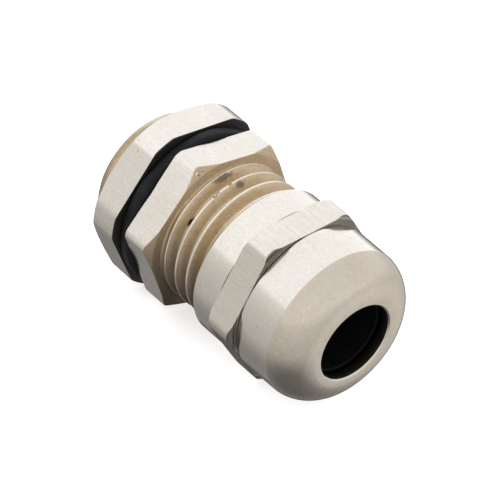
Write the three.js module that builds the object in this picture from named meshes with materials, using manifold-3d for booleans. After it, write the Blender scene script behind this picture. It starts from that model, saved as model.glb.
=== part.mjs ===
// A metal cable gland of size Pg 7, in nickel-plated brass: the fitting that holds and seals a round
// cable of 3 to 6.5 mm where it passes through a panel. Its six pieces share one axis along +X, with
// the entry thread at -X and the cable's way out of the dome at +X. Millimetres, +Z up.
//
// Stations along the axis (x) count from the face of the body's hexagon that seats on the panel.
// The exported group then sets the gland down: z = 0 is what it lies on, and x = y = 0 its middle.

import * as THREE from "three";
import { mergeVertices } from "three/addons/utils/BufferGeometryUtils.js";
import Module from "manifold-3d";

const wasm = await Module();
wasm.setup();

// ---------------------------------------------------------------- driving dimensions

const SEGMENTS = 36; // facets round a turned surface
const TAU = 2 * Math.PI;
const CHAMFER_30 = Math.tan(Math.PI / 6); // axial fall of a hexagon's chamfer for each mm of radius
const RUNNING_GAP = 0.1; // radial clearance between threads, and between pieces that slide
const FACE_GAP = 0.05; // axial clearance between faces that bear on each other

// Threads: d is the outside diameter, and crest where the ridge passes the +Y side of the axis.
const ENTRY_THREAD = { d: 12.5, pitch: 25.4 / 20, crest: 0 };
const CLAMP_THREAD = { d: 12.8, pitch: 25.4 / 18, crest: 1.25 };
const THREAD_DEPTH = 0.6134; // depth of a 60 degree thread, in pitches
const THREAD_CREST = 1 / 8; // flat on its crest, in pitches
const THREAD_BED = 0.12; // how far a ridge is sunk into its core
const OVERLAP = 0.5; // how far joined shapes reach into each other
const BEYOND = 1; // how far a cutting shape reaches past what it cuts

// Hexagons: af across flats, corner the turned-down diameter across corners, roll about the axis.
const BODY_HEX = { af: 14, corner: 16, roll: THREE.MathUtils.degToRad(-2.4), from: 0, to: 2.85 };
const NUT_HEX = { af: 14, corner: 15.75, roll: THREE.MathUtils.degToRad(8), from: 10.7, to: 13.35 };
const LOCKNUT_HEX = { af: 15, corner: 16.2, roll: 0, from: -4.15, to: -1.25 };

const BODY = {
  entryEnd: -6.1,
  rim: 9.6, // where the clamping thread ends
  bore: 8,
  boreFlare: 0.4, // chamfer of the bore's rear end
  mouth: 9.8, // the counterbore that guides the claw insert
  mouthFloor: 3.7,
  mouthFlare: 0.4,
  threadChamfer: 0.5,
  runout: 6.4, // radius at which the clamping thread runs out against the hexagon
};

const DOME = {
  skirtEnd: 7.55,
  skirt: 13.9,
  skirtChamfer: 0.3,
  threadTo: 14.3,
  cavity: 10.6, // behind the cone
  coneFrom: 17.05,
  coneTo: 18.8,
  base: 14, // the barrel that the dome grows out of, which narrows a little to the dome's edge
  edge: 13.9,
  edgeAt: 16.95,
  bulge: 0.7, // height of the dome's arc over its chord
  nose: 19.7,
  noseFlat: 8.3, // where the dome meets the flat round the opening
  opening: 7,
  lip: 0.12,
};

const WASHER = { from: -1.2, to: -FACE_GAP, bore: 12.7, d: 14.8, round: 0.4 };
const CLAW = {
  from: 8.3,
  to: 17.5,
  d: 9.6,
  wall: 0.5,
  root: 7.4, // bore of the ring that the fingers grow from
  rootTo: 10.4,
  edge: 0.2,
  slots: 8,
  slot: 0.75,
  slotFrom: 11,
};
const GROMMET = { from: 10.5, to: 18.45, d: 8.4, bore: 6.6, chamfer: 0.6, edge: 0.2 };

const NICKEL = { color: 0xcdc6ba, roughness: 0.32, metalness: 1 };
const RUBBER = { color: 0x15161a, roughness: 0.7, metalness: 0 };
const POLYAMIDE = { color: 0x1d1d1f, roughness: 0.5, metalness: 0 };

// ---------------------------------------------------------------- solids

// A closed three.js geometry as a solid that can be cut and joined.
function solid(geometry) {
  geometry.deleteAttribute("normal");
  geometry.deleteAttribute("uv");
  const merged = mergeVertices(geometry, 1e-4);
  const vertProperties = new Float32Array(merged.attributes.position.array);
  const triVerts = new Uint32Array(merged.index.array);
  return new wasm.Manifold(new wasm.Mesh({ numProp: 3, vertProperties, triVerts }));
}

// A solid turned about the X axis. The outline is a list of [x, radius] that closes on itself.
function turned(outline) {
  const points = outline.map(([x, radius]) => new THREE.Vector2(radius, x));
  points.push(points[0].clone());
  return solid(new THREE.LatheGeometry(points, SEGMENTS).rotateZ(-Math.PI / 2));
}

const tube = (from, to, inner, outer) =>
  turned([
    [from, inner],
    [from, outer],
    [to, outer],
    [to, inner],
  ]);

const rod = (from, to, radius) => tube(from, to, 0, radius);

// A hexagonal bar with a flat on top before it is rolled, its corners turned down and its ends
// chamfered at 30 degrees. `chamfers` says how far each end's chamfer reaches in from the corner.
function hexagon({ af, corner, roll, from, to }, chamfers) {
  const reach = af / 2 / Math.cos(TAU / 12);
  const corners = Array.from({ length: 6 }, (_, i) => (i + 0.5) * (TAU / 6));
  const outline = new THREE.Shape(
    corners.map((angle) => new THREE.Vector2(reach * Math.cos(angle), reach * Math.sin(angle))),
  );
  const bar = new THREE.ExtrudeGeometry(outline, { depth: to - from, bevelEnabled: false });
  bar.rotateY(Math.PI / 2).rotateX(roll).translate(from, 0, 0);
  const [rear, front] = chamfers;
  const envelope = turned([
    [from, 0],
    [from, corner / 2 - rear],
    [from + rear * CHAMFER_30, corner / 2],
    [to - front * CHAMFER_30, corner / 2],
    [to, corner / 2 - front],
    [to, 0],
  ]);
  return solid(bar).intersect(envelope);
}

// The right-hand helix that a thread's ridge follows between two angles about +X, counted from +Y.
// Its frames keep the section upright: first along the axis, then outwards.
class Helix extends THREE.Curve {
  constructor(radius, { pitch, crest }, start, end) {
    super();
    Object.assign(this, { radius, pitch, crest, start, end });
  }
  angleAt(t) {
    return THREE.MathUtils.lerp(this.start, this.end, t);
  }
  outwardAt(t) {
    const angle = this.angleAt(t);
    return new THREE.Vector3(0, Math.cos(angle), Math.sin(angle));
  }
  getPoint(t) {
    const x = this.crest + (this.pitch * this.angleAt(t)) / TAU;
    return this.outwardAt(t).multiplyScalar(this.radius).setX(x);
  }
  computeFrenetFrames(steps) {
    const frames = { tangents: [], normals: [], binormals: [] };
    for (let i = 0; i <= steps; i++) {
      frames.tangents.push(this.getTangent(i / steps));
      frames.normals.push(new THREE.Vector3(1, 0, 0));
      frames.binormals.push(this.outwardAt(i / steps));
    }
    return frames;
  }
}

// The ridge of a right-hand thread, running at least from x = from to x = to. A nut's groove is the
// same ridge grown by a clearance.
function ridge(thread, from, to, gap = 0) {
  const { pitch, crest } = thread;
  const depth = THREAD_DEPTH * pitch;
  const crestHalf = (THREAD_CREST * pitch) / 2 + gap;
  const bedHalf = crestHalf + (depth + THREAD_BED) * CHAMFER_30;
  const section = new THREE.Shape([
    new THREE.Vector2(-bedHalf, -THREAD_BED),
    new THREE.Vector2(bedHalf, -THREAD_BED),
    new THREE.Vector2(crestHalf, depth + gap),
    new THREE.Vector2(-crestHalf, depth + gap),
  ]);
  // Whole facets, half a turn past the stretch each way, so that ridge and core share their angles.
  const facet = TAU / SEGMENTS;
  const facetsTo = (x) => (SEGMENTS * (x - crest)) / pitch;
  const first = Math.floor(facetsTo(from) - SEGMENTS / 2);
  const last = Math.ceil(facetsTo(to) + SEGMENTS / 2);
  const extrudePath = new Helix(threadRoot(thread), thread, first * facet, last * facet);
  const steps = last - first;
  return solid(new THREE.ExtrudeGeometry(section, { steps, extrudePath, bevelEnabled: false }));
}

const threadRoot = ({ d, pitch }) => d / 2 - THREAD_DEPTH * pitch;

// An outside thread on a shank, its ends cut square or at 45 degrees. The envelope stands clear of
// the crests between the chamfers, so that it only trims the ends.
function threadedShank(thread, from, to, [startChamfer, endChamfer]) {
  const clear = thread.d / 2 + RUNNING_GAP;
  const start = startChamfer ? startChamfer + RUNNING_GAP : 0;
  const end = endChamfer ? endChamfer + RUNNING_GAP : 0;
  const envelope = turned([
    [from, 0],
    [from, clear - start],
    [from + start, clear],
    [to - end, clear],
    [to, clear - end],
    [to, 0],
  ]);
  const core = rod(from, to, threadRoot(thread));
  return core.add(ridge(thread, from, to)).intersect(envelope);
}

// What an inside thread takes away: its bore, its groove, and a countersink where it opens at the
// rear and, in a through hole, at the front as well.
function tappedHole(thread, from, to, { through }) {
  const minor = threadRoot(thread) + RUNNING_GAP;
  const major = thread.d / 2 + RUNNING_GAP;
  const sink = major - minor;
  const rear = turned([
    [from - BEYOND, 0],
    [from - BEYOND, major],
    [from, major],
    [from + sink, minor],
    [from + sink, 0],
  ]);
  const front = turned([
    [to - sink, 0],
    [to - sink, minor],
    [to, major],
    [to + BEYOND, major],
    [to + BEYOND, 0],
  ]);
  const envelope = rod(from - BEYOND, through ? to + BEYOND : to, major + BEYOND);
  const groove = ridge(thread, from, to, RUNNING_GAP / 2);
  const hole = rod(from - BEYOND, to, minor).add(groove).intersect(envelope).add(rear);
  return through ? hole.add(front) : hole;
}

// ---------------------------------------------------------------- pieces

// Entry thread, hexagon and clamping thread in one turned piece, with the cable's bore through it and
// a wider mouth in front that the claw insert slides into. The clamping thread's groove runs out on a
// cone before it reaches the hexagon.
function glandBody() {
  const mouth = BODY.mouth / 2;
  const entry = threadedShank(ENTRY_THREAD, BODY.entryEnd, OVERLAP, [BODY.threadChamfer, 0]);
  const clamp = threadedShank(CLAMP_THREAD, BODY_HEX.to - OVERLAP, BODY.rim, [0, BODY.threadChamfer]);
  const root = threadRoot(CLAMP_THREAD) - THREAD_BED;
  const runout = turned([
    [BODY_HEX.to - OVERLAP, 0],
    [BODY_HEX.to - OVERLAP, BODY.runout],
    [BODY_HEX.to, BODY.runout],
    [BODY_HEX.to + BODY.runout - root, root],
    [BODY_HEX.to + BODY.runout - root, 0],
  ]);
  const outside = hexagon(BODY_HEX, [0.15, 0.8]).add(entry).add(clamp).add(runout);
  const passage = turned([
    [BODY.entryEnd - BEYOND, 0],
    [BODY.entryEnd - BEYOND, BODY.bore / 2 + BODY.boreFlare + BEYOND],
    [BODY.entryEnd + BODY.boreFlare, BODY.bore / 2],
    [BODY.mouthFloor, BODY.bore / 2],
    [BODY.mouthFloor, mouth],
    [BODY.rim - BODY.mouthFlare, mouth],
    [BODY.rim + BEYOND, mouth + BODY.mouthFlare + BEYOND],
    [BODY.rim + BEYOND, 0],
  ]);
  return outside.subtract(passage);
}

// Points of the dome's outline, an arc from the barrel's edge to the flat round the opening.
function domeArc(steps) {
  const start = new THREE.Vector2(DOME.edgeAt, DOME.edge / 2);
  const end = new THREE.Vector2(DOME.nose, DOME.noseFlat / 2);
  const half = start.distanceTo(end) / 2;
  const radius = (half ** 2 + DOME.bulge ** 2) / (2 * DOME.bulge);
  const turn = 2 * Math.asin(half / radius);
  const along = end.clone().sub(start).normalize();
  const inwards = new THREE.Vector2(along.y, -along.x);
  const centre = start.clone().lerp(end, 0.5).addScaledVector(inwards, radius - DOME.bulge);
  return Array.from({ length: steps + 1 }, (_, i) => {
    const point = start.clone().rotateAround(centre, (-turn * i) / steps);
    return [point.x, point.y];
  });
}

// Skirt, hexagon and dome in one piece. Inside are the thread, a plain cavity, the cone that squeezes
// the claw insert, and the opening.
function domeNut() {
  const skirt = DOME.skirt / 2;
  const opening = DOME.opening / 2;
  const turnedShape = turned([
    [DOME.skirtEnd, 0],
    [DOME.skirtEnd, skirt - DOME.skirtChamfer],
    [DOME.skirtEnd + DOME.skirtChamfer, skirt],
    [NUT_HEX.to - OVERLAP, skirt],
    [NUT_HEX.to - OVERLAP, DOME.base / 2],
    ...domeArc(8),
    [DOME.nose, 0],
  ]);
  const inside = turned([
    [DOME.threadTo - BEYOND, 0],
    [DOME.threadTo - BEYOND, DOME.cavity / 2],
    [DOME.coneFrom, DOME.cavity / 2],
    [DOME.coneTo, opening],
    [DOME.nose - DOME.lip, opening],
    [DOME.nose + BEYOND, opening + DOME.lip + BEYOND],
    [DOME.nose + BEYOND, 0],
  ]);
  const thread = tappedHole(CLAMP_THREAD, DOME.skirtEnd, DOME.threadTo, { through: false });
  return turnedShape.add(hexagon(NUT_HEX, [0.35, 0.35])).subtract(inside).subtract(thread);
}

// A plain hexagonal nut on the entry thread, chamfered on its outer face.
function locknut() {
  const hole = tappedHole(ENTRY_THREAD, LOCKNUT_HEX.from, LOCKNUT_HEX.to, { through: true });
  return hexagon(LOCKNUT_HEX, [0.6, 0.12]).subtract(hole);
}

// A flat rubber ring with rounded edges, between the body's hexagon and the locknut or the panel.
function sealingWasher() {
  const { from, to, bore, d, round } = WASHER;
  const arc = (centre, start) =>
    [0, 1, 2, 3].map((i) => {
      const angle = start + (i / 3) * (TAU / 4);
      return [centre - round * Math.cos(angle), d / 2 - round + round * Math.sin(angle)];
    });
  const rearEdge = arc(from + round, 0);
  const frontEdge = arc(to - round, TAU / 4);
  return turned([[from, bore / 2], ...rearEdge, ...frontEdge, [to, bore / 2]]);
}

// The clamping insert: a ring that slides in the body's mouth, and a crown of springy fingers whose
// bevelled tips meet the dome nut's cone.
function clawInsert() {
  const outer = CLAW.d / 2;
  const inner = outer - CLAW.wall;
  const tip = outer - CLAW.wall / 2;
  const bevel = ((outer - tip) * (DOME.coneTo - DOME.coneFrom)) / ((DOME.cavity - DOME.opening) / 2);
  const sleeve = turned([
    [CLAW.from, CLAW.root / 2],
    [CLAW.from, outer - CLAW.edge],
    [CLAW.from + CLAW.edge, outer],
    [CLAW.to - bevel, outer],
    [CLAW.to, tip],
    [CLAW.to, inner],
    [CLAW.rootTo, inner],
    [CLAW.rootTo, CLAW.root / 2],
  ]);
  const length = CLAW.to - CLAW.slotFrom + 1;
  let insert = sleeve;
  for (let i = 0; i < CLAW.slots / 2; i++) {
    const pairOfSlots = new THREE.BoxGeometry(length, CLAW.d + 2, CLAW.slot);
    pairOfSlots.translate(CLAW.slotFrom + length / 2, 0, 0).rotateX((i + 0.5) * (TAU / CLAW.slots));
    insert = insert.subtract(solid(pairOfSlots));
  }
  return insert;
}

// The rubber sleeve inside the fingers that closes on the cable.
function sealingGrommet() {
  const { from, to, d, bore, chamfer, edge } = GROMMET;
  return turned([
    [from, bore / 2],
    [from, d / 2 - edge],
    [from + edge, d / 2],
    [to - chamfer, d / 2],
    [to, d / 2 - chamfer],
    [to, bore / 2 + edge],
    [to - edge, bore / 2],
  ]);
}

// ---------------------------------------------------------------- assembly

function piece(name, made, finish) {
  const { numProp, vertProperties, triVerts } = made.getMesh();
  const geometry = new THREE.BufferGeometry();
  geometry.setAttribute("position", new THREE.BufferAttribute(vertProperties, numProp));
  geometry.setIndex(new THREE.BufferAttribute(triVerts, 1));
  geometry.computeVertexNormals();
  const mesh = new THREE.Mesh(geometry, new THREE.MeshStandardMaterial(finish));
  mesh.name = name;
  return mesh;
}

const gland = new THREE.Group();
gland.add(
  piece("gland_body", glandBody(), NICKEL),
  piece("locknut", locknut(), NICKEL),
  piece("sealing_washer", sealingWasher(), RUBBER),
  piece("claw_insert", clawInsert(), POLYAMIDE),
  piece("sealing_grommet", sealingGrommet(), RUBBER),
  piece("dome_nut", domeNut(), NICKEL),
);
gland.position.set(-(BODY.entryEnd + DOME.nose) / 2, 0, LOCKNUT_HEX.af / 2);

export default gland;
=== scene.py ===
"""A nickel-plated brass cable gland of size Pg 7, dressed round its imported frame.

Every piece is a ring of material round the cable's axis. Its outline in the plane through the axis is
given for each angle at once, so that hexagons, chamfers and helical threads come out as real edges.
Outlines are in millimetres: x is the station along the axis from the face that seats on the panel.
"""

import math

import bmesh
import bpy
import numpy as np
from mathutils import Matrix, Vector


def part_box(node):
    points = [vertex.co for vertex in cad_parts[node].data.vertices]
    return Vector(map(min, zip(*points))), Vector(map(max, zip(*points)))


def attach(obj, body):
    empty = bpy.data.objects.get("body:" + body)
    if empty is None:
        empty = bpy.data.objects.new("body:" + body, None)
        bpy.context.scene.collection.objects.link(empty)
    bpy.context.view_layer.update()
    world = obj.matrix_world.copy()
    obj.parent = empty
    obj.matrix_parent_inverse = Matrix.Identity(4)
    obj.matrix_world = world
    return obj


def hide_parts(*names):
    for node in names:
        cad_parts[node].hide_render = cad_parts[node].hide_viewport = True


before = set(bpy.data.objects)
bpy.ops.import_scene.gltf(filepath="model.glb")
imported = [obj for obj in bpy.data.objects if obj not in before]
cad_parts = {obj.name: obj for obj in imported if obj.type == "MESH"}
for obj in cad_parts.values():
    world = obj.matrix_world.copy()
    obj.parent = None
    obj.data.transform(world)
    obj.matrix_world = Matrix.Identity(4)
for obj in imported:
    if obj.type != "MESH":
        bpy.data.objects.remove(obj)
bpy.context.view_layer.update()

# ---------------------------------------------------------------- sizes, in millimetres

MM = 0.001
TURN = 2 * math.pi
TAN_30 = math.tan(math.radians(30))

ENTRY_END = -6.1
ENTRY = {"d": 12.5, "pitch": 25.4 / 20, "crest": 0.0}
CLAMP = {"d": 12.8, "pitch": 25.4 / 18, "crest": 1.25}
THREAD_DEPTH = 0.6134  # of the pitch
HALF_CREST = 1 / 16  # of the pitch
ROOT_ROUNDING = 0.1
CREST_ROUNDING = 0.05
THREAD_GAP = 0.1  # between a thread and its nut, on the radius
THREAD_CHAMFER = 0.5
RUNOUT = 6.4  # radius at which the clamping thread's runout meets the body's hexagon

# af is across flats, corner is the diameter that the corners are turned down to, roll is in degrees,
# rear and front are the depths of the corner chamfers, and edge is how far the edges are rounded.
BODY_HEX = {
    "af": 14,
    "corner": 16,
    "roll": -2.4,
    "from": 0,
    "to": 2.85,
    "rear": 0.15,
    "front": 0.8,
    "edge": 0.07,
}
NUT_HEX = {
    "af": 14,
    "corner": 15.75,
    "roll": 8,
    "from": 10.7,
    "to": 13.35,
    "rear": 0.35,
    "front": 0.35,
    "edge": 0.05,
}
LOCKNUT_HEX = {
    "af": 15,
    "corner": 16.2,
    "roll": 0,
    "from": -4.15,
    "to": -1.25,
    "rear": 0.6,
    "front": 0.12,
    "edge": 0.08,
}
CORNER_BLEND = 0.12  # width over which a flat runs into a turned-down corner
EDGE_BREAK = 0.05  # the least that an end face's rim lies below the hexagon's sides

RIM = 9.6
BORE = 8.0
BORE_FLARE = 0.4
MOUTH = 9.8
MOUTH_FLOOR = 3.7
MOUTH_FLARE = 0.4

SKIRT_END = 7.55
SKIRT = 13.9
SKIRT_CHAMFER = 0.3
THREAD_TO = 14.3
CAVITY = 10.6
CONE_FROM = 17.05
CONE_TO = 18.8
BARREL = 14.0
EDGE = 13.9
EDGE_AT = 16.95
BULGE = 0.7  # height of the dome's arc over its chord
NOSE = 19.7
NOSE_FLAT = 8.3
OPENING = 7.0
LIP = 0.12
SCORE = 0.05  # the fine line turned at each side of the dome nut's hexagon

WASHER = {"from": -1.2, "to": -0.05, "bore": 12.7, "outer": 14.8}
GROMMET = {"from": 10.5, "to": 18.45, "bore": 6.6, "outer": 8.4, "taper_from": 17.85, "tip": 7.2}
CLAW = {"from": 8.3, "to": 17.5, "outer": 9.6, "inner": 8.6, "root": 7.4, "root_to": 10.4}
CLAW_TIP = {"outer": 9.1, "taper_from": 17.257, "rounding": 0.04}
CLAW_CHAMFER = 0.2
SLOTS = {"count": 8, "width": 0.75, "from": 11.0}

# Columns of angles round each kind of piece.
METAL_COLUMNS = 360
RUBBER_COLUMNS = 240
CLAW_COLUMNS = 160
DOME_STEPS = 30

MERGE_DISTANCE = 1e-6  # in metres
SHARP_ANGLE = math.radians(38)  # edges that turn less than this are smooth

low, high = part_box("sealing_grommet")
AXIS = (low + high) / 2
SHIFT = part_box("gland_body")[0].x / MM - ENTRY_END


def columns(count):
    return np.linspace(0, TURN, count + 1)


# ---------------------------------------------------------------- outlines


def bend(start, corner, end, t):
    """A point of the curve from start to end that is pulled towards corner."""
    return (1 - t) ** 2 * start + 2 * t * (1 - t) * corner + t**2 * end


class Outline:
    """A closed outline, for all columns of angles at once. Each point says how far its corner is
    rounded off and which finish the surface from it to the next point has."""

    ROUNDING_STEPS = (0, 0.33, 0.67, 1)
    MOST_OF_A_SIDE = 0.3  # the share of a side that a rounding takes at most
    BESIDE = 1.5  # where the row beside a rounding is, in reaches from the corner

    def __init__(self, angles):
        self.angles = angles
        self.points = []

    def to(self, x, r, rounding=0.0, finish=0):
        n = len(self.angles)
        xs = np.broadcast_to(np.asarray(x, float), (n,))
        rs = np.broadcast_to(np.asarray(r, float), (n,))
        self.points.append((np.stack([xs, rs]), rounding, finish))

    def rows(self):
        """The outline with its corners rounded off, and a row close beside each rounding that keeps
        the surfaces next to it flat."""
        made = []
        count = len(self.points)
        for i, (point, rounding, finish) in enumerate(self.points):
            before, after = self.points[i - 1], self.points[(i + 1) % count]
            if not rounding:
                made.append((point, finish))
                continue
            back, ahead = before[0] - point, after[0] - point
            back_length = np.maximum(np.hypot(*back), 1e-9)
            ahead_length = np.maximum(np.hypot(*ahead), 1e-9)
            reach = np.minimum(rounding, self.MOST_OF_A_SIDE * np.minimum(back_length, ahead_length))
            start = point + back / back_length * reach
            end = point + ahead / ahead_length * reach
            made.append((point + back / back_length * reach * self.BESIDE, before[2]))
            for t in self.ROUNDING_STEPS:
                made.append((bend(start, point, end, t), before[2] if t < 0.5 else finish))
            made.append((point + ahead / ahead_length * reach * self.BESIDE, finish))
        return made


def soft_min(a, b, width):
    """The smaller of a and b, with a smooth change from one to the other."""
    near = np.maximum(width - np.abs(a - b), 0) / width
    return np.minimum(a, b) - near**2 * width / 4


def hex_radius(shape, angles):
    """Distance from the axis to a hexagon with turned-down corners, for each angle from +Y."""
    from_flat = np.radians((np.degrees(angles) - 90 - shape["roll"] + 30) % 60 - 30)
    return soft_min(shape["af"] / 2 / np.cos(from_flat), shape["corner"] / 2, CORNER_BLEND)


def hexagon(outline, shape, rear_finish, front_finish, shoulder=0.0):
    """The hexagon's outline from its rear face to its front face, with milled flats and chamfered
    corners. shoulder is the least radius of its front edge."""
    r = hex_radius(shape, outline.angles)
    rear = np.minimum(r - EDGE_BREAK, shape["corner"] / 2 - shape["rear"])
    front = np.minimum(r - EDGE_BREAK, shape["corner"] / 2 - shape["front"])
    front = np.maximum(front, shoulder)
    edge = shape["edge"]
    outline.to(shape["from"], rear, edge, rear_finish)
    outline.to(shape["from"] + (r - rear) * TAN_30, r, edge, MILLED)
    outline.to(shape["to"] - (r - front) * TAN_30, r, edge, front_finish)
    outline.to(shape["to"], front, edge, front_finish)


def thread_depth(shape):
    return THREAD_DEPTH * shape["pitch"]


def thread_root(shape):
    return shape["d"] / 2 - thread_depth(shape)


def thread_pattern(shape):
    """One pitch of a 60 degree thread from the middle of its root, as [along, height] points with the
    crest and the root a little rounded."""
    pitch, depth = shape["pitch"], thread_depth(shape)
    crest = HALF_CREST * pitch
    foot = crest + depth * TAN_30
    onward = np.array([1, 0])
    downward = np.array([-TAN_30, -1]) / math.hypot(TAN_30, 1)
    root_corner = np.array([-foot, 0])
    crest_corner = np.array([-crest, depth])

    def rounded(corner, back, ahead, reach):
        return [tuple(bend(corner + back * reach, corner, corner + ahead * reach, t)) for t in (0, 0.5, 1)]

    half = [(-pitch / 2, 0)]
    half += rounded(root_corner, -onward, -downward, ROOT_ROUNDING)
    half.append(tuple((root_corner + crest_corner) / 2))
    half += rounded(crest_corner, downward, onward, CREST_ROUNDING)
    mirrored = [(-x, height) for x, height in reversed(half[1:])]
    return half + [(0, depth)] + mirrored


def thread(outline, shape, start, end, limit, finishes, gap=0.0, backwards=False):
    """The rows of a right-hand thread between two stations. limit trims the radius at its ends, and
    gap makes it the thread of a nut. finishes are those of the crest and of the groove."""
    pitch = shape["pitch"]
    pattern = thread_pattern(shape)
    offsets = np.array([along for along, _ in pattern])
    heights = np.array([height for _, height in pattern])
    crest, groove = finishes
    helix = shape["crest"] + pitch * outline.angles / TURN

    def row(x, finish):
        along = (x - helix + pitch / 2) % pitch - pitch / 2
        height = np.interp(along, np.append(offsets, pitch / 2), np.append(heights, 0))
        return x, limit(x, thread_root(shape) + gap + height), finish

    rows = [row(np.full_like(helix, start), groove)]
    first = math.floor((start - shape["crest"]) / pitch) - 2
    last = math.ceil((end - shape["crest"]) / pitch) + 2
    for k in range(first, last):
        for offset in offsets:
            x = helix + pitch * k + offset
            if (x < start).all() or (x > end).all():
                continue
            finish = crest if abs(offset) < HALF_CREST * pitch else groove
            rows.append(row(np.clip(x, start, end), finish))
    rows.append(row(np.full_like(helix, end), groove))
    for x, r, finish in reversed(rows) if backwards else rows:
        outline.to(x, r, 0, finish)


def ring(name, outline, node, body, materials):
    """Turns an outline into a closed mesh that stands for a node and rides on its body."""
    rows = outline.rows()
    angles = outline.angles
    row_count, count = len(rows), len(angles)
    grid = np.array([row for row, _ in rows])
    xs, rs = grid[:, 0], grid[:, 1]
    points = np.stack([xs + SHIFT, rs * np.cos(angles), rs * np.sin(angles)], axis=-1).reshape(-1, 3)
    i, j = np.meshgrid(np.arange(row_count), np.arange(count - 1), indexing="ij")
    here = i * count + j
    there = (i + 1) % row_count * count + j
    quads = np.stack([here, here + 1, there + 1, there], axis=-1).reshape(-1, 4)
    finishes = np.repeat([finish for _, finish in rows], count - 1)
    mesh = bpy.data.meshes.new(name)
    mesh.from_pydata((points * MM).tolist(), [], quads.tolist())
    mesh.polygons.foreach_set("material_index", finishes.astype(np.int32))
    made = bmesh.new()
    made.from_mesh(mesh)
    bmesh.ops.remove_doubles(made, verts=made.verts, dist=MERGE_DISTANCE)
    bmesh.ops.recalc_face_normals(made, faces=made.faces)
    for face in made.faces:
        face.smooth = True
    for edge in made.edges:
        edge.smooth = edge.calc_face_angle(0) < SHARP_ANGLE
    made.to_mesh(mesh)
    made.free()
    obj = bpy.data.objects.new(name, mesh)
    bpy.context.scene.collection.objects.link(obj)
    obj.location = (0, AXIS.y, AXIS.z)
    for material in materials:
        mesh.materials.append(material)
    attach(obj, body)
    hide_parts(node)


# ---------------------------------------------------------------- materials

PLATING = (0.72, 0.685, 0.62)
STAIN = (0.6, 0.535, 0.43)
TAN_PLATING = (0.69, 0.637, 0.555)
TAN_STAIN = (0.575, 0.485, 0.35)
# paler plating: brightened to paint the highlight lines on the clamping thread's crests; also the entry
# thread's paler flanks
PALE_HIGHLIGHT_PLATING = (0.84, 0.775, 0.665)
THIN_PLATING = (0.72, 0.595, 0.425)
THIN_STAIN = (0.53, 0.395, 0.22)
# greys that paint shade, over real streaky tool marks, on the dome nut's score lines and hexagon front
SHOULDER_SHADE_GREY = (0.5, 0.47, 0.42)
SHOULDER_SHADE_DARK = (0.1, 0.09, 0.075)
# near-black painted shade, for faces that look into a narrow gap and for the depths of the dome's opening
SHADE_BLACK = (0.02, 0.018, 0.016)
BROWN_WALL = (0.12, 0.095, 0.055)
PIT_COLOUR = (0.16, 0.12, 0.085)
# painted shade that darkens the undersides of the threads and faces
UNDERSIDE_SHADE = (0.07, 0.052, 0.038)
SMUDGE_COLOUR = (0.07, 0.06, 0.065)
DENT_COLOUR = (0.015, 0.012, 0.008)
TORN_DARK = (0.2, 0.15, 0.1)
TORN_BRIGHT = (0.93, 0.87, 0.76)

# How fine each pattern of the finishes is, in features per metre.
CLOUDS = 260
PIT_PATCHES = 420
DUST = 700
COOL_PATCHES = 750
PITS = 1500
# patches where the opening's painted shade gives way to brown
WALL_PATCHINESS = 1800
PATCHES = 2200
RAGGED_EDGES = 2600
TORN_METAL = 3600
RUBBER_GRAIN = 5200
GRAIN = 7000
TOOL_LINES = 9000
LINE_LENGTH = 350  # along a milled line
LINE_SPREAD = 1.1  # round a turned line

# Single marks on the clamping thread and on one corner of the body's hexagon: the station and the angle
# from +Y in degrees of each one's middle, then its length along the axis and its spread in degrees.
SMUDGES = ((3.3, 103.5, 0.3, 19), (4.74, 98, 0.3, 9))
DENTS = ((3.86, 147.5, 0.22, 11), (4.5, 116, 0.12, 3))
BURRS = ((4.54, 120, 0.22, 5), (4.52, 113, 0.22, 6), (4.49, 106, 0.2, 5))
CORNER_BURRS = ((2.66, 119.5, 0.2, 2.2), (2.66, 116, 0.16, 1.8))

SHADED_FROM = 3.5  # height over the axis where the painted shade on the undersides of threads and faces begins
SHADED_TO = -4.8  # and where it is darkest
WALL_FADE = 0.6  # how far behind the nose painted shade has turned the opening's wall black
METAL_BUMP = 0.00004  # height of the finest relief, in metres
MOULDED_BUMP = 0.00005

# The finishes of the metal pieces, in the order of their materials.
TURNED, MILLED, FACE, THREAD, CREST, GAP_SHADE, SHOULDER, NOSE_END, WALL = range(9)


class Nodes:
    """Short names for the nodes of one material or of the world."""

    def __init__(self, tree):
        self.tree = tree

    def add(self, kind, inputs=None, **settings):
        node = self.tree.nodes.new(kind)
        for key, value in settings.items():
            setattr(node, key, value)
        for key, value in (inputs or {}).items():
            self.feed(node.inputs[key], value)
        return node

    def feed(self, socket, value):
        """Links a socket to another node's output, or sets it to a constant."""
        if isinstance(value, bpy.types.NodeSocket):
            self.tree.links.new(value, socket)
        else:
            socket.default_value = value

    def maths(self, operation, a, b=0.0, c=0.0):
        return self.add("ShaderNodeMath", {0: a, 1: b, 2: c}, operation=operation).outputs[0]

    def vector(self, operation, a, b):
        return self.add("ShaderNodeVectorMath", {0: a, 1: b}, operation=operation).outputs[0]

    def noise(self, vector, scale, detail=3.0, roughness=0.5):
        inputs = {"Vector": vector, "Scale": scale, "Detail": detail, "Roughness": roughness}
        return self.add("ShaderNodeTexNoise", inputs).outputs["Fac"]

    def span(self, value, low_in, high_in, low_out=0.0, high_out=1.0):
        """Maps a value from one range to another, and holds it at the ends."""
        inputs = {
            "Value": value,
            "From Min": low_in,
            "From Max": high_in,
            "To Min": low_out,
            "To Max": high_out,
        }
        return self.add("ShaderNodeMapRange", inputs).outputs["Result"]

    def blend(self, factor, a, b):
        node = self.add("ShaderNodeMix", data_type="RGBA")
        for socket, value in ((node.inputs[0], factor), (node.inputs[6], a), (node.inputs[7], b)):
            self.feed(socket, value)
        return node.outputs[2]

    def bump(self, height, strength, distance):
        inputs = {"Strength": strength, "Distance": distance, "Height": height}
        return self.add("ShaderNodeBump", inputs).outputs[0]


def opaque(colour, share=1):
    """A colour, or a darker share of it, with its alpha."""
    return (*(share * c for c in colour), 1)


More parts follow.
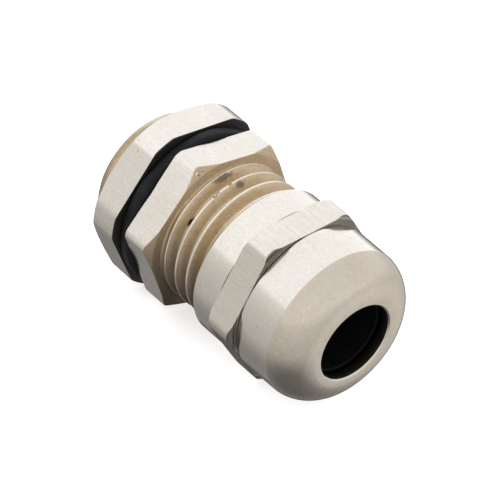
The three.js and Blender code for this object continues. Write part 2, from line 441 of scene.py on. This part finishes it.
def new_material(name):
    material = bpy.data.materials.new(name)
    material.use_nodes = True
    tree = material.node_tree
    shader = tree.nodes["Principled BSDF"]
    return material, Nodes(tree), shader


def object_place(nodes):
    return nodes.add("ShaderNodeTexCoord").outputs["Object"]


def tool_marks(nodes, place, milled):
    """Fine lines left by the tool: rings round the axis on turned faces, lines along it on flats."""
    if milled:
        stretched = nodes.vector("MULTIPLY", place, (LINE_LENGTH, TOOL_LINES, TOOL_LINES))
    else:
        parts = nodes.add("ShaderNodeSeparateXYZ", {0: place}).outputs
        across = nodes.add("ShaderNodeCombineXYZ", {"Y": parts["Y"], "Z": parts["Z"]}).outputs[0]
        distance = nodes.add("ShaderNodeVectorMath", {0: across}, operation="LENGTH").outputs["Value"]
        heading = nodes.add("ShaderNodeVectorMath", {0: across}, operation="NORMALIZE").outputs[0]
        along_lines = nodes.maths("MULTIPLY", parts["X"], TOOL_LINES)
        outward_lines = nodes.maths("MULTIPLY", distance, TOOL_LINES)
        depth = nodes.maths("ADD", along_lines, outward_lines)
        ahead = nodes.add("ShaderNodeCombineXYZ", {"X": depth}).outputs[0]
        turned = nodes.vector("MULTIPLY", heading, (0, LINE_SPREAD, LINE_SPREAD))
        stretched = nodes.vector("ADD", turned, ahead)
    return nodes.noise(stretched, 1.0, 4.0, 0.6)


def marks_on(nodes, place, marks):
    """Where the single marks are: 1 inside any of them, with ragged edges, and 0 elsewhere."""
    parts = nodes.add("ShaderNodeSeparateXYZ", {0: place})
    ragged = nodes.span(nodes.noise(place, RAGGED_EDGES, 3.0, 0.6), 0.25, 0.75, -0.35, 0.35)
    angle = nodes.maths("ARCTAN2", parts.outputs["Z"], parts.outputs["Y"])
    found = 0.0
    for station, degrees, length, spread in marks:
        along = nodes.maths("SUBTRACT", parts.outputs["X"], (station + SHIFT) * MM)
        across = nodes.maths("SUBTRACT", angle, math.radians(degrees))
        along = nodes.maths("DIVIDE", along, length / 2 * MM)
        across = nodes.maths("DIVIDE", across, math.radians(spread / 2))
        square = nodes.maths("MULTIPLY_ADD", along, along, nodes.maths("MULTIPLY", across, across))
        edge = nodes.maths("ADD", nodes.maths("SQRT", square), ragged)
        found = nodes.maths("MAXIMUM", found, nodes.span(edge, 0.6, 1.2, 1.0, 0.0))
    return found


def marked(nodes, place, colour, height, smudges, dents, burrs):
    """Lays dark smudges, black dents and torn bright burrs over a finish's colour and height."""
    if smudges:
        smudge = nodes.maths("MULTIPLY", marks_on(nodes, place, smudges), 0.7)
        colour = nodes.blend(smudge, colour, opaque(SMUDGE_COLOUR))
    if dents:
        dent = marks_on(nodes, place, dents)
        colour = nodes.blend(dent, colour, opaque(DENT_COLOUR))
        height = nodes.maths("MULTIPLY_ADD", dent, -6.0, height)
    if burrs:
        burr = marks_on(nodes, place, burrs)
        torn = nodes.span(nodes.noise(place, TORN_METAL, 2.0), 0.42, 0.58)
        colour = nodes.blend(burr, colour, nodes.blend(torn, opaque(TORN_DARK), opaque(TORN_BRIGHT)))
        height = nodes.maths("MULTIPLY_ADD", nodes.maths("MULTIPLY", burr, torn), 4.0, height)
    return colour, height


def nickel(
    name,
    tint,
    stain,
    milled=False,
    roughness=0.15,
    stained=0.45,
    relief=0.1,
    specks=0.5,
    metallic=1.0,
    lined=0.16,
    underside_shade=0.0,
    smudges=(),
    dents=(),
    burrs=(),
):
    """Satin nickel plating: mottled and lightly stained, with tool marks beneath it and small pits.
    stained, lined and specks say how strongly stains, tool marks and pits show, relief how deep they
    are, and under how dark the painted shade makes the underside. smudges, dents and burrs are single
    marks."""
    material, nodes, shader = new_material(name)
    place = object_place(nodes)
    lines = tool_marks(nodes, place, milled)
    clouds = nodes.noise(place, CLOUDS, 4.0, 0.55)
    patches = nodes.noise(place, PATCHES, 5.0, 0.75)
    grain = nodes.noise(place, GRAIN, 2.0, 0.6)
    mottle = nodes.maths("MULTIPLY_ADD", patches, 0.55, nodes.maths("MULTIPLY", clouds, 0.45))

    colour = nodes.blend(nodes.span(mottle, 0.4, 0.64, 0.0, stained), opaque(tint), opaque(stain))
    colour = nodes.blend(nodes.span(grain, 0.35, 0.65, 0.0, 0.2), colour, opaque(stain, 0.7))
    cool = nodes.span(nodes.noise(place, COOL_PATCHES, 3.0), 0.45, 0.65, 0.0, 0.3)
    colour = nodes.blend(cool, colour, (0.9 * tint[0], 0.9 * tint[1], tint[2], 1))
    colour = nodes.blend(nodes.span(lines, 0.34, 0.66, 0.0, lined), colour, opaque(stain, 0.6))
    pits = nodes.add("ShaderNodeTexVoronoi", {"Vector": place, "Scale": PITS}).outputs["Distance"]
    pitted = nodes.span(nodes.noise(place, PIT_PATCHES, 2.0), 0.54, 0.66)
    pit = nodes.maths("MULTIPLY", nodes.span(pits, 0.05, 0.17, specks, 0.0), pitted)
    colour = nodes.blend(pit, colour, opaque(PIT_COLOUR))
    # Painted shade: the colour darkens towards the underside, below SHADED_FROM.
    if underside_shade:
        level = nodes.add("ShaderNodeSeparateXYZ", {0: place}).outputs["Z"]
        shade = nodes.span(level, SHADED_FROM * MM, SHADED_TO * MM, 0.0, underside_shade)
        colour = nodes.blend(shade, colour, opaque(UNDERSIDE_SHADE))

    height = nodes.maths("MULTIPLY_ADD", grain, 0.35, nodes.maths("MULTIPLY_ADD", patches, 0.8, lines))
    colour, height = marked(nodes, place, colour, height, smudges, dents, burrs)
    rough = nodes.maths("MULTIPLY_ADD", grain, 0.3, mottle)
    rough = nodes.span(rough, 0.4, 0.9, roughness - 0.05, roughness + 0.1)
    nodes.feed(shader.inputs["Base Color"], colour)
    nodes.feed(shader.inputs["Roughness"], rough)
    nodes.feed(shader.inputs["Normal"], nodes.bump(height, relief, METAL_BUMP))
    shader.inputs["Metallic"].default_value = metallic
    return material


def opening_wall():
    """The nickel inside the dome's opening: brown at the lip, turning into black painted shade further in,
    in patches.
    """
    material, nodes, shader = new_material("nickel_dome_wall")
    place = object_place(nodes)
    along = nodes.add("ShaderNodeSeparateXYZ", {0: place}).outputs["X"]
    near_lip = nodes.span(along, (NOSE - WALL_FADE + SHIFT) * MM, (NOSE - LIP + SHIFT) * MM)
    patchy = nodes.span(nodes.noise(place, WALL_PATCHINESS, 4.0, 0.6), 0.35, 0.65, 0.4, 1.0)
    shown = nodes.maths("MULTIPLY", near_lip, patchy)
    nodes.feed(shader.inputs["Base Color"], nodes.blend(shown, opaque(SHADE_BLACK), opaque(BROWN_WALL)))
    shader.inputs["Roughness"].default_value = 0.4
    shader.inputs["Metallic"].default_value = 0.7
    return material


def moulded(name, dark, light, roughness, grain_scale, relief):
    """Moulded rubber or plastic: almost black, a little dusty, with a fine grain."""
    material, nodes, shader = new_material(name)
    place = object_place(nodes)
    dust = nodes.noise(place, DUST, 5.0, 0.65)
    grain = nodes.noise(place, grain_scale, 3.0, 0.6)
    dusty = nodes.span(nodes.maths("MULTIPLY_ADD", grain, 0.3, dust), 0.5, 0.85)
    rough = nodes.span(dust, 0.3, 0.7, roughness - 0.06, roughness + 0.1)
    height = nodes.maths("MULTIPLY_ADD", dust, 0.6, grain)
    nodes.feed(shader.inputs["Base Color"], nodes.blend(dusty, opaque(dark), opaque(light)))
    nodes.feed(shader.inputs["Roughness"], rough)
    nodes.feed(shader.inputs["Normal"], nodes.bump(height, relief, MOULDED_BUMP))
    shader.inputs["Specular IOR Level"].default_value = 0.2
    return material


def metal(part, milling=0.12, underside_shade=0.3, thread_marks=None, corner_burrs=()):
    """The finishes of one turned brass piece, in the order of TURNED to GAP_SHADE."""
    marks = thread_marks or {}
    thin = {"metallic": 0.8, "underside_shade": underside_shade}
    flats = {"milled": True, "relief": milling, "lined": milling, "burrs": corner_burrs}
    return [
        nickel(f"nickel_{part}_turned", PLATING, STAIN, relief=0.06, lined=0.07),
        nickel(f"nickel_{part}_milled", PLATING, STAIN, **flats),
        nickel(
            f"nickel_{part}_face",
            THIN_PLATING,
            THIN_STAIN,
            stained=0.7,
            roughness=0.62,
            burrs=corner_burrs,
            **thin,
        ),
        nickel(
            f"nickel_{part}_thread",
            THIN_PLATING,
            THIN_STAIN,
            stained=0.9,
            specks=1,
            roughness=0.4,
            **thin,
            **marks,
        ),
        # The crest finish is painted brighter to stand for the highlight lines on the clamping thread's
        # crests.
        nickel(f"nickel_{part}_crest", PALE_HIGHLIGHT_PLATING, TAN_STAIN, stained=0.4, roughness=0.2, **marks),
        # near-black painted shade for the faces that look into the narrow gap by the washer
        nickel(f"nickel_{part}_gap_shade", SHADE_BLACK, SHADE_BLACK, roughness=0.6, metallic=0.3),
    ]


thread_marks = {"smudges": SMUDGES, "dents": DENTS, "burrs": BURRS}
# The body's threads and faces get the strongest painted shade on their undersides.
body_metal = metal("body", underside_shade=0.95, thread_marks=thread_marks, corner_burrs=CORNER_BURRS)
lock_metal = metal("locknut")
nut_metal = metal("dome", milling=0.26) + [
    # The shoulder finish: dark grey painted shade in the score lines and the hexagon's front corners, with
    # real streaky tool marks.
    nickel("nickel_dome_shaded_shoulder", SHOULDER_SHADE_GREY, SHOULDER_SHADE_DARK, stained=0.5, relief=0.4, lined=1.0, metallic=0.85),
    nickel("nickel_dome_nose", TAN_PLATING, TAN_STAIN, relief=0.06, lined=0.05, stained=0.6),
    opening_wall(),
]

rubber = moulded("seal_rubber", (0.002, 0.002, 0.0025), (0.012, 0.013, 0.016), 0.5, RUBBER_GRAIN, 0.2)
sleeve = moulded("grommet_rubber", (0.001, 0.001, 0.0012), (0.004, 0.004, 0.005), 0.6, RUBBER_GRAIN, 0.2)
polyamide = moulded("claw_plastic", (0.006, 0.006, 0.0065), (0.018, 0.018, 0.02), 0.42, GRAIN, 0.12)

# ---------------------------------------------------------------- pieces


def make_body():
    outline = Outline(columns(METAL_COLUMNS))
    entry_end = ENTRY["d"] / 2 - THREAD_CHAMFER
    clamp_end = CLAMP["d"] / 2 - THREAD_CHAMFER
    outline.to(ENTRY_END, BORE / 2 + BORE_FLARE, rounding=0.08, finish=FACE)
    thread(
        outline,
        ENTRY,
        ENTRY_END,
        BODY_HEX["from"],
        lambda x, r: np.minimum(r, entry_end + x - ENTRY_END),
        (TURNED, CREST),
    )
    # the hexagon's rear face looks into the gap by the washer and is painted near-black shade
    hexagon(outline, BODY_HEX, GAP_SHADE, FACE)
    thread(
        outline,
        CLAMP,
        BODY_HEX["to"],
        RIM,
        lambda x, r: np.minimum(np.maximum(r, RUNOUT + BODY_HEX["to"] - x), clamp_end + RIM - x),
        (CREST, THREAD),
    )
    outline.to(RIM, MOUTH / 2 + MOUTH_FLARE, rounding=0.06, finish=FACE)
    outline.to(RIM - MOUTH_FLARE, MOUTH / 2, rounding=0.05, finish=FACE)
    outline.to(MOUTH_FLOOR, MOUTH / 2, rounding=0.05, finish=FACE)
    outline.to(MOUTH_FLOOR, BORE / 2, rounding=0.05, finish=FACE)
    outline.to(ENTRY_END + BORE_FLARE, BORE / 2, rounding=0.08, finish=FACE)
    ring("body_ring", outline, "gland_body", "gland_body", body_metal)


def make_locknut():
    outline = Outline(columns(METAL_COLUMNS))
    start, end = LOCKNUT_HEX["from"], LOCKNUT_HEX["to"]
    major = ENTRY["d"] / 2 + THREAD_GAP
    # the locknut's front face looks into the gap by the washer and is painted near-black shade
    hexagon(outline, LOCKNUT_HEX, TURNED, GAP_SHADE)
    thread(
        outline,
        ENTRY,
        start,
        end,
        lambda x, r: np.maximum(r, np.maximum(major - (x - start), major - (end - x))),
        (THREAD, THREAD),
        gap=THREAD_GAP,
        backwards=True,
    )
    ring("locknut_ring", outline, "locknut", "locknut", lock_metal)


def dome_arc(steps):
    """Points of the dome's arc from the barrel's edge to the flat round the opening."""
    start = np.array([EDGE_AT, EDGE / 2])
    end = np.array([NOSE, NOSE_FLAT / 2])
    half = np.linalg.norm(end - start) / 2
    radius = (half**2 + BULGE**2) / (2 * BULGE)
    along = (end - start) / (2 * half)
    centre = (start + end) / 2 + np.array([along[1], -along[0]]) * (radius - BULGE)
    first = math.atan2(*(start - centre)[::-1])
    turn = 2 * math.asin(half / radius)
    angles = first - turn * np.linspace(0, 1, steps + 1)
    return centre + radius * np.stack([np.cos(angles), np.sin(angles)], axis=1)


def make_dome_nut():
    outline = Outline(columns(METAL_COLUMNS))
    major = CLAMP["d"] / 2 + THREAD_GAP
    outline.to(SKIRT_END, SKIRT / 2 - SKIRT_CHAMFER, rounding=0.05, finish=TURNED)
    outline.to(SKIRT_END + SKIRT_CHAMFER, SKIRT / 2, rounding=0.08, finish=TURNED)
    outline.to(NUT_HEX["from"] - 2 * SCORE, SKIRT / 2, finish=SHOULDER)
    outline.to(NUT_HEX["from"] - SCORE, SKIRT / 2 - SCORE, finish=SHOULDER)
    hexagon(outline, NUT_HEX, TURNED, SHOULDER, shoulder=BARREL / 2 - SCORE)
    outline.to(NUT_HEX["to"] + SCORE, BARREL / 2 - SCORE, finish=SHOULDER)
    outline.to(NUT_HEX["to"] + 2 * SCORE, BARREL / 2, finish=TURNED)
    for i, (x, r) in enumerate(dome_arc(DOME_STEPS)):
        outline.to(x, r, rounding=0.06 if i == 0 else 0, finish=NOSE_END)
    outline.to(NOSE, OPENING / 2 + LIP, rounding=0.04, finish=TURNED)
    outline.to(NOSE - LIP, OPENING / 2, rounding=0.04, finish=WALL)
    outline.to(CONE_TO, OPENING / 2, rounding=0.05, finish=WALL)
    outline.to(CONE_FROM, CAVITY / 2, rounding=0.1, finish=FACE)
    outline.to(THREAD_TO, CAVITY / 2, finish=FACE)
    thread(
        outline,
        CLAMP,
        SKIRT_END,
        THREAD_TO,
        lambda x, r: np.maximum(r, major - (x - SKIRT_END)),
        (THREAD, THREAD),
        gap=THREAD_GAP,
        backwards=True,
    )
    ring("dome_nut_ring", outline, "dome_nut", "dome_nut", nut_metal)


def make_washer():
    outline = Outline(columns(RUBBER_COLUMNS))
    bore, outer = WASHER["bore"] / 2, WASHER["outer"] / 2
    outline.to(WASHER["from"], bore, rounding=0.1)
    outline.to(WASHER["from"], outer, rounding=0.34)
    outline.to(WASHER["to"], outer, rounding=0.34)
    outline.to(WASHER["to"], bore, rounding=0.1)
    ring("sealing_washer_ring", outline, "sealing_washer", "washer", [rubber])


def make_grommet():
    outline = Outline(columns(RUBBER_COLUMNS))
    bore, outer = GROMMET["bore"] / 2, GROMMET["outer"] / 2
    outline.to(GROMMET["from"], bore, rounding=0.15)
    outline.to(GROMMET["from"], outer, rounding=0.2)
    outline.to(GROMMET["taper_from"], outer, rounding=0.15)
    outline.to(GROMMET["to"], GROMMET["tip"] / 2, rounding=0.15)
    outline.to(GROMMET["to"], bore, rounding=0.12)
    ring("grommet_sleeve", outline, "sealing_grommet", "insert", [sleeve])


def claw_columns():
    """The claw insert's angles, with whether each is in a slot. Each slot's edges are doubled, so that
    the fingers' sides are square."""
    spacing = TURN / SLOTS["count"]
    half = SLOTS["width"] / CLAW_TIP["outer"]
    hair, clear = 1e-7, 0.01
    centres = (np.arange(SLOTS["count"]) + 0.5) * spacing
    edges = np.concatenate([centres - half, centres + half])
    found = []
    for angle in columns(CLAW_COLUMNS):
        if np.abs(edges - angle).min() > clear:
            found.append((angle, abs(angle % spacing - spacing / 2) < half))
    for start, end in zip(centres - half, centres + half):
        found += [(start, False), (start + hair, True), (end - hair, True), (end, False)]
    found.sort(key=lambda column: column[0])
    angles, slotted = zip(*found)
    return np.array(angles), np.array(slotted)


def make_claw():
    """The claw insert: a collar whose front is slotted into fingers. Between a slot's edges the outline
    stops where the slots begin."""
    angles, slotted = claw_columns()
    outline = Outline(angles)
    start, end = CLAW["from"], CLAW["to"]
    outer, inner, root = CLAW["outer"] / 2, CLAW["inner"] / 2, CLAW["root"] / 2
    tip, small = CLAW_TIP["outer"] / 2, CLAW_TIP["rounding"]
    for x, r in (
        (start + CLAW_CHAMFER, outer),
        (CLAW_TIP["taper_from"], outer),
        (end - small, tip + small),
        (end, tip - small),
        (end, inner + small),
        (end - small, inner),
        (CLAW["root_to"], inner),
        (CLAW["root_to"], root),
        (start, root),
        (start, outer - CLAW_CHAMFER),
    ):
        outline.to(np.where(slotted, np.minimum(x, SLOTS["from"]), x), r)
    ring("claw_collar", outline, "claw_insert", "insert", [polyamide])


make_body()
make_locknut()
make_dome_nut()
make_washer()
make_grommet()
make_claw()

# ---------------------------------------------------------------- floor, light and camera

FLOOR_REACH = 1.5  # in metres

# The room's light, from straight down at 0 to straight up at 1.
ROOM_BELOW = (0.24, 0.25, 0.26)
ROOM_ABOVE = (0.95, 0.94, 0.93)
ROOM_LEVELS = ((0.09, 0.32), (0.2, 0.62), (0.5, 0.82), (0.62, 1.0))
ROOM_TINT = (1, 0.985, 0.98)
SOFTBOX = (1.38, 1.4, 1.45)

# Directions from the gland in which the room is paler or dimmer, or which the softbox spans.
BEHIND_LEFT = (-0.551, 0.595, -0.585)
BEHIND_RIGHT = (0.551, 0.595, -0.585)
BENEATH = (0.25, 0.0, -0.97)
OVERHEAD = (0, 0.247, 0.969)

AZIMUTH = 42.78
ELEVATION = 35.81
ROLL = 11.86
DISTANCE = 0.26324
LENS = 233.5
AIM = Vector((-0.0003, 0.0, 0.0003))


def make_floor():
    mesh = bpy.data.meshes.new("floor")
    near, far = -FLOOR_REACH, FLOOR_REACH
    corners = [(near, near, 0), (far, near, 0), (far, far, 0), (near, far, 0)]
    mesh.from_pydata(corners, [], [(0, 1, 2, 3)])
    floor = bpy.data.objects.new("floor", mesh)
    bpy.context.scene.collection.objects.link(floor)
    material, _, shader = new_material("pale_floor")
    shader.inputs["Base Color"].default_value = (0.9, 0.9, 0.9, 1)
    shader.inputs["Roughness"].default_value = 0.9
    shader.inputs["Emission Color"].default_value = (1, 1, 1, 1)
    shader.inputs["Emission Strength"].default_value = 0.6
    mesh.materials.append(material)
    floor.visible_glossy = False
    floor.visible_diffuse = False


def make_light():
    """A softbox overhead with crisp edges, in a room that is pale above and dimmer below."""
    world = bpy.data.worlds.new("studio")
    bpy.context.scene.world = world
    world.use_nodes = True
    nodes = Nodes(world.node_tree)
    background = world.node_tree.nodes["Background"]
    direction = nodes.add("ShaderNodeTexCoord").outputs["Generated"]
    parts = nodes.add("ShaderNodeSeparateXYZ", {0: direction})

    def towards(way):
        inputs = {0: direction, 1: way}
        return nodes.add("ShaderNodeVectorMath", inputs, operation="DOT_PRODUCT").outputs["Value"]

    room = nodes.add("ShaderNodeValToRGB", {0: nodes.span(parts.outputs["Z"], -1, 1)})
    ramp = room.color_ramp
    ramp.elements[0].position = 0
    ramp.elements[0].color = opaque(ROOM_BELOW)
    ramp.elements[1].position = 1
    ramp.elements[1].color = opaque(ROOM_ABOVE)
    for position, value in ROOM_LEVELS:
        ramp.elements.new(position).color = opaque(ROOM_TINT, value)
    dim_left = nodes.span(towards(BEHIND_LEFT), 0.89, 0.97, 1.0, 0.2)
    dim_beneath = nodes.span(towards(BENEATH), 0.7, 0.93, 1.0, 0.65)
    lift_right = nodes.span(towards(BEHIND_RIGHT), 0.75, 0.95, 1.0, 1.3)
    change = nodes.maths("MULTIPLY", nodes.maths("MULTIPLY", dim_left, dim_beneath), lift_right)
    inputs = {0: room.outputs[0], "Scale": change}
    changed = nodes.add("ShaderNodeVectorMath", inputs, operation="SCALE").outputs[0]
    rear = nodes.span(parts.outputs["X"], -0.43, -0.47)
    over = nodes.span(towards(OVERHEAD), 0.06, 0.1)
    light = nodes.blend(nodes.maths("MULTIPLY", rear, over), changed, opaque(SOFTBOX))
    nodes.feed(background.inputs["Color"], light)
    background.inputs["Strength"].default_value = 1.0


def make_camera():
    data = bpy.data.cameras.new("camera")
    data.lens = LENS
    data.sensor_width = 36
    data.clip_start = 0.01
    camera = bpy.data.objects.new("camera", data)
    bpy.context.scene.collection.objects.link(camera)
    azimuth, elevation, roll = (math.radians(a) for a in (AZIMUTH, ELEVATION, ROLL))
    across = math.cos(elevation)
    back = Vector((math.sin(azimuth) * across, -math.cos(azimuth) * across, math.sin(elevation)))
    level = Vector((0, 0, 1)).cross(back).normalized()
    upright = back.cross(level)
    right = math.cos(roll) * level + math.sin(roll) * upright
    up = math.cos(roll) * upright - math.sin(roll) * level
    turned = Matrix((right, up, back)).transposed().to_4x4()
    middle = Vector((0, AXIS.y, AXIS.z)) + AIM
    camera.matrix_world = Matrix.Translation(middle + back * DISTANCE) @ turned
    bpy.context.scene.camera = camera


make_floor()
make_light()
make_camera()
bpy.context.scene.view_settings.view_transform = "Standard"
